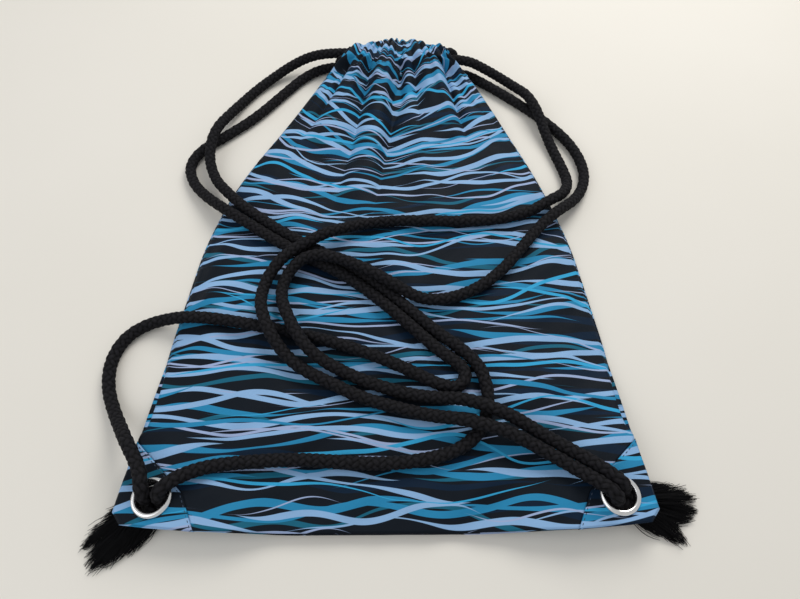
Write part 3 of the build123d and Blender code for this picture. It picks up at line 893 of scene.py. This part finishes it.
def make_seams(material):
    """The folded allowances between the panels, up both sides and along the bottom edge."""
    heights = np.linspace(SIDE_SEAM_START, PANEL_HEIGHT, 150)
    lifts = rim_height(heights, -CLOTH) - RIM
    for side, inward, edges in zip(("left", "right"), (1, -1), panel_edges(heights)):
        points, uv = [], []
        for edge, height, lift in zip(edges, heights, lifts):
            for d, z in SEAM_SECTION:
                x = edge + inward * d
                points.append((x, height + BOTTOM, lift + z + 0.00012 * math.sin(900 * height + 3 * d)))
                uv.append((x, height))
        make_seam(f"{side}_side_seam", len(heights), points, uv, material)
    along = np.linspace(-0.06, 0.06, 90)
    points = [(x, BOTTOM + d, z + 0.00012 * math.sin(900 * x)) for x in along for d, z in SEAM_SECTION]
    uv = [(x, d) for x in along for d, z in SEAM_SECTION]
    make_seam("bottom_seam", len(along), points, uv, material)


# Corners


def corner_reach(angles):
    """Distance from the eyelet to the corner piece's outline at each angle, for the right-hand one."""
    centre = np.array((EYELET.x, EYELET.y - BOTTOM))
    outline = np.array(CORNER)
    across, up = np.cos(angles), np.sin(angles)
    result = np.full(len(angles), np.inf)
    for start, end in zip(outline, np.roll(outline, -1, axis=0)):
        side, gap = end - start, start - centre
        lean = across * side[1] - up * side[0]
        far = (gap[0] * side[1] - gap[1] * side[0]) / lean
        share = (gap[0] * up - gap[1] * across) / lean
        met = (far > 0) & (share >= -1e-6) & (share <= 1 + 1e-6)
        result = np.where(met, np.minimum(result, far), result)
    return result


EYELET_HOLE = 0.01  # radius of the hole in the corner cloth


def make_corners(material):
    """Two layers of cloth round each eyelet, sewn to the panel along a slanting seam."""
    centre = np.array((EYELET.x, EYELET.y - BOTTOM))
    turns = full_turn(200)
    corners = [math.atan2(p[1] - centre[1], p[0] - centre[0]) % math.tau for p in CORNER]
    turns = np.array(sorted([*turns, *corners]))
    reach = corner_reach(turns)
    shares = np.linspace(0, 1, 16)[:, None]
    edge_dip = 0.0005 * smoothstep(0.93, 1.0, shares) + 0.00015 * (1 - smoothstep(0.0, 0.25, shares))
    for side, sign, seed in (("left", -1, 9), ("right", 1, 8)):
        for layer, grow in (("front", 0.0), ("back", 0.0009)):
            radius = EYELET_HOLE + shares * (reach + grow - EYELET_HOLE)
            x = sign * (centre[0] + radius * np.cos(turns))
            height = centre[1] + radius * np.sin(turns)
            z = TAB_TOPS[layer] - 0.0001 + waves(x, height, 0.00012, 0.02, seed) - edge_dip
            piece = cloth_piece(
                f"{side}_corner_{layer}", (x, height + BOTTOM, z), (x, height), material, CORNER_CLOTH,
                closed=True, flip=sign > 0,
            )


STITCH_LENGTH, STITCH_RADIUS = 0.0022, 0.00027
CORNER_STITCH_STEP, CASING_STITCH_STEP = 0.0034, 0.0031
STITCH_INSET = 0.0013  # from the seam of a corner piece


def add_tube(points, faces, curve, heights, radii, across, around, capped=False):
    """Adds a thin level tube along a curve, from its heights, radii and side direction."""
    base = len(points)
    for (x, y), z, radius in zip(curve, heights, radii):
        for turn in full_turn(around):
            out = radius * math.cos(turn)
            points.append((x + across[0] * out, y + across[1] * out, z + radius * math.sin(turn)))
    strip = tube_faces(len(curve), around) if capped else grid_faces(len(curve), around, closed=True)
    faces += [[base + i for i in face] for face in strip]


def stitch_row(name, places, headings, material, node):
    """Short threads lying on the cloth, each with both ends sunk in it."""
    along = np.linspace(-1, 1, 7)
    radii = STITCH_RADIUS * np.sqrt(np.maximum(0.02, 1 - along**4)) * 0.95
    points, faces = [], []
    for (x, y, z), heading in zip(places, headings):
        ahead = np.array((math.cos(heading), math.sin(heading)))
        curve = (x, y) + (along * STITCH_LENGTH / 2)[:, None] * ahead
        heights = z + STITCH_RADIUS * 0.45 - 0.00035 * along**4
        add_tube(points, faces, curve, heights, radii, (-ahead[1], ahead[0]), 8, capped=True)
    ride_and_stand(mesh_object(name, points, faces, material), "bag", node)


def make_corner_stitches(material):
    """One row beside the slanting seam of each corner piece."""
    seam = np.array([CORNER[3], CORNER[4], CORNER[0]])
    for side, sign in (("left", -1), ("right", 1)):
        places, headings = [], []
        for start, end in zip(seam, seam[1:]):
            length = np.linalg.norm(end - start)
            way = (end - start) / length
            inward = np.array((-way[1], way[0]))
            for k in range(int(length / CORNER_STITCH_STEP)):
                x, height = start + way * CORNER_STITCH_STEP * (k + 0.5) + inward * STITCH_INSET
                places.append((sign * x, height + BOTTOM, TAB_TOPS["front"] - 0.00025))
                headings.append(math.atan2(way[1], sign * way[0]))
        stitch_row(f"{side}_corner_stitches", places, headings, material, f"{side}_corner_stitching")


def make_casing_stitches(material, surface):
    """The row that closes the front casing, following its gathers."""
    x, y, z = [rows[1] for rows in surface]
    run = run_along(np.stack([x, z], axis=1))
    inside = run[(x > CASING_LEFT) & (x < CASING_RIGHT)]
    along = np.arange(inside[0] + 0.001, inside[-1], CASING_STITCH_STEP)
    places = list(zip(*[np.interp(along, run, values) for values in (x, y, z)]))
    stitch_row("casing_stitches", places, [0.0] * len(places), material, "casing_stitching")


# Knots and tassels


def make_knot(side, sign, material):
    """A tight knot of both cord ends under the eyelet."""
    t = np.linspace(0, math.tau, 200)
    radius = 0.0062 + 0.0022 * np.cos(3 * t)
    line = np.stack([
        sign * (EYELET.x + radius * np.cos(2 * t)),
        EYELET.y + radius * np.sin(2 * t),
        KNOT_Z + 0.0034 * np.sin(3 * t),
    ], axis=1)
    piece = braided(f"{side}_knot_braid", line, material, around=32, step=0.0007, diameter=0.0076)
    return ride_and_stand(piece, f"{side}_end", f"{side}_knot")


# Where the loose fibres reach: (x, height over the bottom edge), round the fan
LEFT_FAN = [(-0.171, 0.022), (-0.183, 0.014), (-0.192, -0.001), (-0.193, -0.013), (-0.186, -0.02),
            (-0.172, -0.0145), (-0.16, -0.008)]
RIGHT_FAN = [(0.176, 0.029), (0.19, 0.031), (0.204, 0.0245), (0.2035, 0.008), (0.193, -0.008),
             (0.176, -0.002)]
FIBRES = 26  # in each clump


def clump(root, fan, spread):
    """The fibres of one clump: the middle line, heights, radii and side direction of each."""
    run = run_along(fan)
    at = rng.uniform(0, run[-1])
    tip = np.array([np.interp(at, run, fan[:, k]) for k in (0, 1)])
    tip = root + (tip - root) * rng.uniform(0.72, 1.0)
    way = (tip - root) / np.linalg.norm(tip - root)
    across = np.array((-way[1], way[0]))
    bow = rng.normal(0, 0.003)
    start = root + way * 0.004 + across * rng.normal(0, 0.0035)
    start_z = rng.uniform(0.003, 0.0095)
    middle_z = rng.uniform(0.002, 0.0085)
    tip_z = rng.uniform(0.0005, 0.0035)
    t = np.linspace(0, 1, 9)[:, None]
    for _ in range(FIBRES):
        slip = rng.normal(0, spread, 2)
        end = tip + across * slip[0] * 2.2 + way * slip[1] * 2.5
        curve = start + (end - start) * t + across * (bow + slip[0]) * 4 * t * (1 - t)
        curve = curve + across * 0.0004 * np.sin(t * rng.uniform(8, 20) + rng.uniform(0, 6)) * t
        lift = rng.normal(0, spread * 0.8)
        z = start_z * (1 - t) ** 2 + 2 * middle_z * t * (1 - t) + tip_z * t**2
        z = np.clip(z + lift * 4 * t * (1 - t), 0.0004, 0.0115)
        size = rng.uniform(0.0002, 0.00034) * (1 - 0.55 * t**4)
        yield curve, z[:, 0], size[:, 0], across


def make_tassel(side, sign, fan, clumps, spread, material):
    """The frayed ends: loose clumps of fibres that fan out from under the knot."""
    root = np.array((sign * EYELET.x, EYELET.y - BOTTOM))
    points, faces = [], []
    for _ in range(clumps):
        for curve, heights, radii, across in clump(root, np.array(fan), spread):
            add_tube(points, faces, curve + (0, BOTTOM), heights, radii, across, 3)
    piece = mesh_object(f"{side}_tassel_fibres", points, faces, material)
    return ride_and_stand(piece, f"{side}_end", f"{side}_tassel")


def make_bag(cloth, black, thread):
    strands = make_strands(black)
    make_cased_cords(black)
    front, front_top = make_front_panel(cloth, [line for _, line in strands.values()])
    back, back_top = make_back_panel(cloth)
    front_hem, surface = make_casing("front_casing", cloth, front_top, True)
    back_hem, _ = make_casing("back_casing", cloth, back_top, False)
    make_seams(cloth)
    make_corners(cloth_material("corner_cloth", turn=math.radians(-8), shift=(0.031, 0.047)))
    make_corner_stitches(thread)
    make_casing_stitches(thread, surface)
    return strands, ((front, front_hem, back), (back, back_hem, "floor"))


def build():
    bpy.context.scene.view_settings.view_transform = "Standard"
    make_camera()
    make_stage()
    black = cord_material("cord", CORD_DARK, CORD_PALE)
    frayed = cord_material("frayed_cord", FRAYED_DARK, FRAYED_PALE)
    thread = thread_material()
    nickel = nickel_material()
    for side in ("left", "right"):
        for node in (f"{side}_eyelet", f"{side}_eyelet_washer"):
            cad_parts[node].data.materials.clear()
            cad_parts[node].data.materials.append(nickel)
    strands, panels = make_bag(cloth_material("printed_cloth"), black, thread)
    ends = {}
    for side, sign, fan, clumps, spread in (
        ("left", -1, LEFT_FAN, 62, 0.0008),
        ("right", 1, RIGHT_FAN, 50, 0.0006),
    ):
        knot = make_knot(side, sign, black)
        ends[side] = [knot, make_tassel(side, sign, fan, clumps, spread, frayed)]
    for name, (piece, line) in strands.items():
        length = float(np.sum(np.linalg.norm(np.diff(line, axis=0), axis=1)))
        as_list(ends[name.split("_")[0]] if name.endswith("inner") else [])
    for panel, hem, under in panels:
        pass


build()
